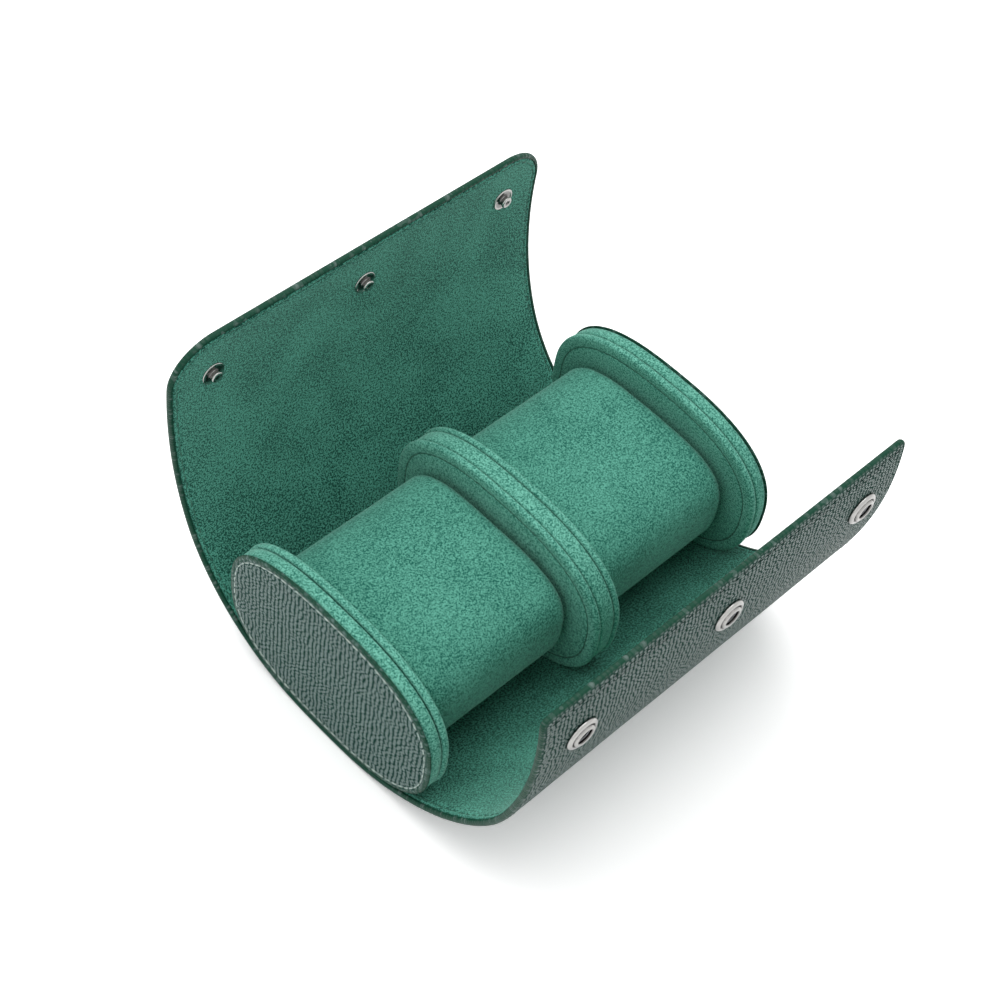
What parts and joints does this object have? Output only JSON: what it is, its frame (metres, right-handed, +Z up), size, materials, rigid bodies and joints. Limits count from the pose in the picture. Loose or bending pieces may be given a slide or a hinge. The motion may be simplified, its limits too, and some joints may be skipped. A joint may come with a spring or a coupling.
{
  "type": "watch travel case",
  "caption": "Oval leather roll case for wrist watches with a suede lining, wrap-around flaps closed by press studs, a middle divider and lift-out pillows.",
  "frame": {"origin": "on the table, under the middle of the oval roll", "axes": "X along the roll, +Y towards the lid, -Y towards the front flap, +Z up"},
  "size_m": [0.165, 0.1742, 0.1229],
  "materials": {
    "leather": "pebble-grained coated leather with a soft grey-green sheen",
    "suede": "deep green microfibre suede with a brushed nap",
    "pillow_suede": "green microfibre suede stretched over the pillow",
    "board": "grey card stiffener, hidden",
    "foam": "upholstery foam, hidden",
    "nickel": "polished nickel",
    "steel": "plain spring steel",
    "edge": "glossy turned edge of the leather",
    "thread": "polyester sewing thread"
  },
  "bodies": {
    "case": {"base_leather": "leather", "base_board": "board", "base_lining": "suede", "left_cap_face": "leather", "left_cap_board": "board", "left_cap_foam": "foam", "left_cap_suede": "suede", "right_cap_face": "leather", "right_cap_board": "board", "right_cap_foam": "foam", "right_cap_suede": "suede", "divider_board": "board", "divider_suede": "suede"},
    "lid_strip_1": {"lid_leather_1": "leather", "lid_lining_1": "suede"},
    "lid_strip_2": {"lid_leather_2": "leather", "lid_lining_2": "suede"},
    "lid_strip_3": {"lid_leather_3": "leather", "lid_lining_3": "suede"},
    "lid_panel": {"lid_leather_4": "leather", "lid_lining_4": "suede", "lid_board": "board", "snap_studs": "nickel", "snap_stud_plates": "steel"},
    "front_strip_1": {"front_leather_1": "leather", "front_lining_1": "suede"},
    "front_strip_2": {"front_leather_2": "leather", "front_lining_2": "suede"},
    "front_strip_3": {"front_leather_3": "leather", "front_lining_3": "suede"},
    "front_panel": {"front_leather_4": "leather", "front_lining_4": "suede", "front_board": "board", "snap_sockets": "nickel", "snap_springs": "steel", "snap_socket_plates": "steel"},
    "left_pillow": {"left_pillow_cover": "pillow_suede", "left_pillow_foam": "foam"},
    "right_pillow": {"right_pillow_cover": "pillow_suede", "right_pillow_foam": "foam"}
  },
  "joints": [
    {"name": "lid_hinge_1", "type": "hinge", "parent": "case", "child": "lid_strip_1", "pos_m": [0, 0.04293, 0.01089], "axis": [1, 0, 0], "range_deg": [-20, 20.67]},
    {"name": "lid_hinge_2", "type": "hinge", "parent": "lid_strip_1", "child": "lid_strip_2", "pos_m": [0, 0.05838, 0.02348], "axis": [1, 0, 0], "range_deg": [-19.76, 20.42]},
    {"name": "lid_hinge_3", "type": "hinge", "parent": "lid_strip_2", "child": "lid_strip_3", "pos_m": [0, 0.07208, 0.04541], "axis": [1, 0, 0], "range_deg": [-15.47, 15.99]},
    {"name": "lid_hinge_4", "type": "hinge", "parent": "lid_strip_3", "child": "lid_panel", "pos_m": [0, 0.07947, 0.07441], "axis": [1, 0, 0], "range_deg": [-15, 31.29]},
    {"name": "front_hinge_1", "type": "hinge", "parent": "case", "child": "front_strip_1", "pos_m": [0, -0.0431, 0.01055], "axis": [-1, 0, 0], "range_deg": [-19, 26.4]},
    {"name": "front_hinge_2", "type": "hinge", "parent": "front_strip_1", "child": "front_strip_2", "pos_m": [0, -0.05948, 0.02195], "axis": [-1, 0, 0], "range_deg": [-14.91, 20.7]},
    {"name": "front_hinge_3", "type": "hinge", "parent": "front_strip_2", "child": "front_strip_3", "pos_m": [0, -0.07287, 0.03675], "axis": [-1, 0, 0], "range_deg": [-6.31, 8.75]},
    {"name": "front_hinge_4", "type": "hinge", "parent": "front_strip_3", "child": "front_panel", "pos_m": [0, -0.08181, 0.05455], "axis": [-1, 0, 0], "range_deg": [-24.66, 34.25]},
    {"name": "left_pillow_lift", "type": "slide", "parent": "case", "child": "left_pillow", "axis": [0, 0, 1], "range_m": [0, 0.07]},
    {"name": "right_pillow_lift", "type": "slide", "parent": "case", "child": "right_pillow", "axis": [0, 0, 1], "range_m": [0, 0.07]}
  ],
  "couplings": [
    {"joint": "lid_hinge_2", "follows": "lid_hinge_1", "ratio": 0.98549},
    {"joint": "lid_hinge_3", "follows": "lid_hinge_1", "ratio": 0.77117},
    {"joint": "front_hinge_2", "follows": "front_hinge_1", "ratio": 0.7822},
    {"joint": "front_hinge_3", "follows": "front_hinge_1", "ratio": 0.32955},
    {"joint": "front_hinge_4", "follows": "front_hinge_1", "ratio": 1.2954}
  ]
}
